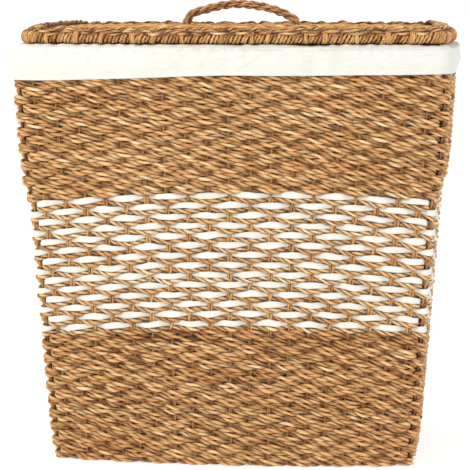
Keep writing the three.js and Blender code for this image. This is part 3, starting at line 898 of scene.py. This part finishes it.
def build_knot(piece, centre, rng):
    """A round overhand knot: a closed curve that crosses itself, of two cords."""
    share = np.arange(150) / 150
    a = 2 * PI * share
    radius = 0.0032 + 0.0014 * np.cos(3 * a)
    loop = np.stack([radius * np.cos(2 * a), radius * np.sin(2 * a), 0.0022 * np.sin(3 * a)], -1) * 1.05
    path = centre + loop
    out, up = frames(path, unit(loop), closed=True)
    twist(piece, path, out, up, rng, radius=0.00165, spread=0.0011, pitch=0.02, closed=True, tone=0.36)


# The rim's binding and the liner

BINDING_LOW, BINDING_HIGH = (float(corner[2]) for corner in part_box("rim_binding"))
BINDING_OUT = -0.0063  # from the outline to the middle of the binding
BINDING_LEVEL = (BINDING_LOW + BINDING_HIGH) / 2 - 0.0008


def build_binding(piece, rng):
    """A flat strand wound over the top of the wall and the rim wire."""
    tall, wide = (BINDING_HIGH - BINDING_LOW) / 2 - 0.0022, 0.0047
    turns, per = 300, 12
    share = np.arange(turns * per) / (turns * per)
    angle = 2 * PI * turns * share
    point, out = outline(share, RIM_LEVEL, BINDING_OUT + wide * np.cos(angle))
    point[:, 2] = BINDING_LEVEL + tall * np.sin(angle)
    radial = unit(tilted(out, angle))
    # a little painted shade all along the binding
    piece.add(section(point, radial, np.cross(out, UP), 0.0009, 0.0024, 6), closed=True,
              tone=0.5 + 0.15 * wobble(share, rng, 20, 120),
              hue=0.5 + 0.4 * wobble(share, rng, 5, 40), depth=0.1)


def cloth_loop(piece, grid, thickness):
    """Gives a closed band of cloth its thickness. grid is n round by m down."""
    around = np.roll(grid, -1, 0) - np.roll(grid, 1, 0)
    down = np.gradient(grid, axis=1)
    normal = unit(np.cross(down, around))
    outer, inner = grid + normal * thickness / 2, grid - normal * thickness / 2
    steps = np.linalg.norm(np.diff(grid[0], axis=0), axis=1)
    down_length = np.concatenate([[0], np.cumsum(steps)])
    loop = np.concatenate([outer, inner[:, ::-1]], 1)
    along, _ = arc_length(grid[:, grid.shape[1] // 2], True)
    piece.add(loop, closed=True, along=along, around=np.concatenate([down_length, down_length[::-1]]))


# The cuff from its seam inside the rim, over it and down to the hem: millimetres out from the
# outline, and up
CUFF_PROFILE = [(-16.6, 492), (-16.8, 500), (-16.6, 506), (-14.8, 509), (-11.5, 509.8), (-7.0, 509.2),
                (-3.6, 506.8), (-0.4, 502.4), (2.0, 496.5), (3.6, 489), (4.2, 480), (4.0, 472), (3.6, 466)]
# Where the cuff sags away from the lid: place round the rim, half width there, and depth. The
# deepest two are at the right of the front.
SAGS = [(0.057, 0.013, 0.0030), (0.143, 0.011, 0.0028), (0.005, 0.006, 0.0012), (0.94, 0.005, 0.0013),
        (0.30, 0.012, 0.0020), (0.47, 0.010, 0.0016), (0.66, 0.011, 0.0020)]
CUFF_CLEAR = 0.0072  # least distance of the cuff from the middle of the rim's binding


def bump(at, centre, width):
    return np.exp(-((at - centre) / width) ** 2)


def cuff_grid(rng):
    """The turned-down cloth, n round by m down: it swells, puckers below the turn, creases and sags."""
    n = 850
    turn = np.arange(n) / n
    profile = np.array([(out / 1000, up / 1000, 0) for out, up in CUFF_PROFILE])
    fine = smooth_path(profile, 56)[:, :2]
    down = np.linspace(0, 1, len(fine))
    offset = np.tile(fine[:, 0], (n, 1))
    z = np.tile(fine[:, 1], (n, 1))
    outside = np.clip((down - 0.40) / 0.25, 0, 1)[None]
    hem = np.clip((down - 0.8) / 0.2, 0, 1)[None]
    swell = wobble(turn, rng, 6, 26, 9)[:, None] * 0.0012 * outside * (1 - 0.8 * hem)
    pucker = wobble(turn, rng, 60, 170, 16)[:, None] * 0.0018 * bump(down, 0.53, 0.13)[None]
    slow = wobble(turn, rng, 25, 70, 12)[:, None] * 0.0011 * outside * (1 - 0.7 * hem)
    offset = offset + swell + pucker + slow
    for _ in range(44):
        at, reach = rng.uniform(0, 1), rng.uniform(0.010, 0.034)
        height, lean, size = rng.uniform(0.45, 0.85), rng.uniform(-1.6, 1.6), rng.uniform(0.0008, 0.0022)
        gap = (turn[:, None] - at + 0.5) % 1 - 0.5
        line = (gap / reach) * lean * 0.28 + height
        crease = bump(down[None], line, 0.035) * bump(gap, 0, reach)
        offset = offset + size * crease * outside * (1 - hem)
    # the hem is higher at the right end, and lower near the corners
    lower = 0.0025 * (1 - np.cos(8 * PI * turn)) / 2 - 0.0050 * np.sin(2 * PI * turn) - 0.0084
    lower = lower + 0.0005 * wobble(turn, rng, 3, 12)
    z = z - (outside ** 2) * lower[:, None]
    crown = bump(down, 0.42, 0.15)[None]
    z = z + (0.0007 * wobble(turn, rng, 40, 120, 10)[:, None] - 0.0006) * crown
    for at, width, size in SAGS:
        gap = (turn - at + 0.5) % 1 - 0.5
        z = z - (size * np.exp(-(gap / width) ** 4))[:, None] * crown
    # a point too near the binding is moved straight away from the binding's middle
    push = np.maximum(1, CUFF_CLEAR / np.hypot(offset - BINDING_OUT, z - BINDING_LEVEL))
    offset = BINDING_OUT + (offset - BINDING_OUT) * push
    z = BINDING_LEVEL + (z - BINDING_LEVEL) * push
    _, out = outline(turn, RIM_LEVEL, 0, WALL_CORNER)
    corner = (2 * np.abs(out[:, 0] * out[:, 1])) ** 2
    tuck = 0.0030 * corner[:, None] * bump(down, 0.50, 0.14)[None]
    return outline(turn[:, None], z, offset - tuck, WALL_CORNER)[0]


CLOTH = 0.0011  # thickness
HEM_RINGS = 9  # of the cuff's cloth that the turned hem covers


def build_liner(cotton, stitch):
    rng = np.random.default_rng(505)
    grid = cuff_grid(rng)
    piece = Piece("liner_cuff_cloth")
    cloth_loop(piece, grid, CLOTH)
    cuff = piece.make(cotton, "basket", "liner_cotton", ["liner_cuff"])
    # the hem is turned to the inside, a second layer sewn along its upper edge
    last = grid[:, -HEM_RINGS:]
    around = np.roll(last, -1, 0) - np.roll(last, 1, 0)
    normal = unit(np.cross(np.gradient(last, axis=1), around))
    hem = Piece("liner_hem")
    cloth_loop(hem, last - normal * 0.0010, 0.0007)
    hem_made = hem.make(cotton, "basket", "liner_cotton")
    seam = Piece("liner_stitches")
    build_stitches(seam, last[:, 1] + normal[:, 1] * 0.0006, normal[:, 1], 0.0036)
    seam_made = seam.make(stitch, "basket", "liner_cotton")

    bag = bag_grid(rng)
    piece = Piece("liner_bag_cloth")
    cloth_loop(piece, bag, CLOTH)
    made = piece.make(cotton, "basket", "liner_cotton", ["liner_bag"])


def build_stitches(piece, line, normal, pitch):
    """A running stitch round a closed line."""
    along, total = arc_length(line, True)
    count = int(total / pitch)
    ends = np.concatenate([line, line[:1]])
    lengths = np.concatenate([along, [total]])
    for i in range(count):
        at = np.linspace(i * pitch, i * pitch + pitch * 0.72, 5)  # the rest is the gap between stitches
        spot = np.stack([np.interp(at, lengths, ends[:, k]) for k in range(3)], -1)
        k = int(i * pitch / total * len(line)) % len(line)
        out = normal[k]
        spot = spot + out * (0.00025 * np.sin(np.linspace(0, PI, 5)))[:, None]
        tangent = unit(np.gradient(spot, axis=0))
        piece.add(section(spot, out, np.cross(tangent, out), 0.00028, 0.00028, 5))


BAG_INSET = 0.0156
BAG_FLOOR = 0.0168


def bag_grid(rng):
    """The liner's bag, n round by m down: its wall, the turn at the bottom and the floor."""
    n = 480
    turn = np.arange(n) / n
    z = np.concatenate([np.linspace(0.497, 0.04, 60), np.linspace(0.034, BAG_FLOOR, 8)])
    inset = np.concatenate([np.full(60, -BAG_INSET), -BAG_INSET - 0.0085 * np.linspace(0.05, 1, 8) ** 2])
    share = np.linspace(0, 1, len(z))[None]
    fold = 0.0016 * wobble(turn, rng, 8, 30, 8)[:, None] * np.sin(PI * share) - 0.0015 * np.sin(PI * share)
    fold = fold + 0.0009 * wobble(turn, rng, 30, 90, 10)[:, None] * np.exp(-share / 0.2)
    wall, _ = outline(turn[:, None], z[None], inset[None] + np.minimum(fold, 0.0007))
    count = 25
    rings = []
    for k in range(1, count):
        scale = 1 - k / count
        ring = wall[:, -1] * [scale, scale, 1]
        x, y = ring[:, 0], ring[:, 1]
        ripple = 0.0009 * np.sin(x * 60 + y * 25) + 0.0008 * np.sin(y * 90 - x * 31)
        ring[:, 2] = BAG_FLOOR + 0.0010 + ripple * min(1, k / 4)
        rings.append(ring)
    return np.concatenate([wall, np.stack(rings, 1)], 1)


def dress_wires():
    """The wires keep their CAD meshes and get the lacquer."""
    wire = lacquered_wire("wire_lacquer")
    for name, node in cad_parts.items():
        if "wire" in name or name.startswith("upright"):
            made = bpy.data.objects.get(name) or node
            made.data.materials.clear()
            made.data.materials.append(wire)


def main():
    """Makes every material and every piece."""
    grass = seagrass("seagrass_cord")
    border = seagrass("seagrass_border")
    flat = seagrass("seagrass_panel")
    flat.node_tree.nodes["Principled BSDF"].inputs["Specular IOR Level"].default_value = 0.05
    dark = seagrass("seagrass_rope", ROPE_STOPS)
    tape = cotton_tape("cotton_cord")
    cotton = cloth("liner_cotton")
    stitch = thread("cotton_thread")
    build_wall(grass, tape)
    rng = np.random.default_rng(9)
    for name, build, material, body, slot, nodes in (
            ("base_panel", build_base, grass, "basket", "seagrass", ["base_weave"]),
            ("lid_panel", build_lid_weave, flat, "lid", "seagrass", ["lid_weave"]),
            ("lid_wrapping", build_lid_edge, border, "lid", "seagrass", ["lid_edge_wrap"]),
            ("lid_ties", build_lid_ties, border, "lid", "seagrass", []),
            ("lid_plait", build_plait, border, "lid", "seagrass", ["lid_edge_braid"]),
            ("handle_twisted_rope", build_handle, dark, "lid", "seagrass_rope", ["handle_rope"]),
            ("rim_wrapping", build_binding, border, "basket", "seagrass", ["rim_binding"])):
        piece = Piece(name)
        build(piece, rng)
        piece.make(material, body, slot, nodes)
    build_liner(cotton, stitch)
    dress_wires()


main()
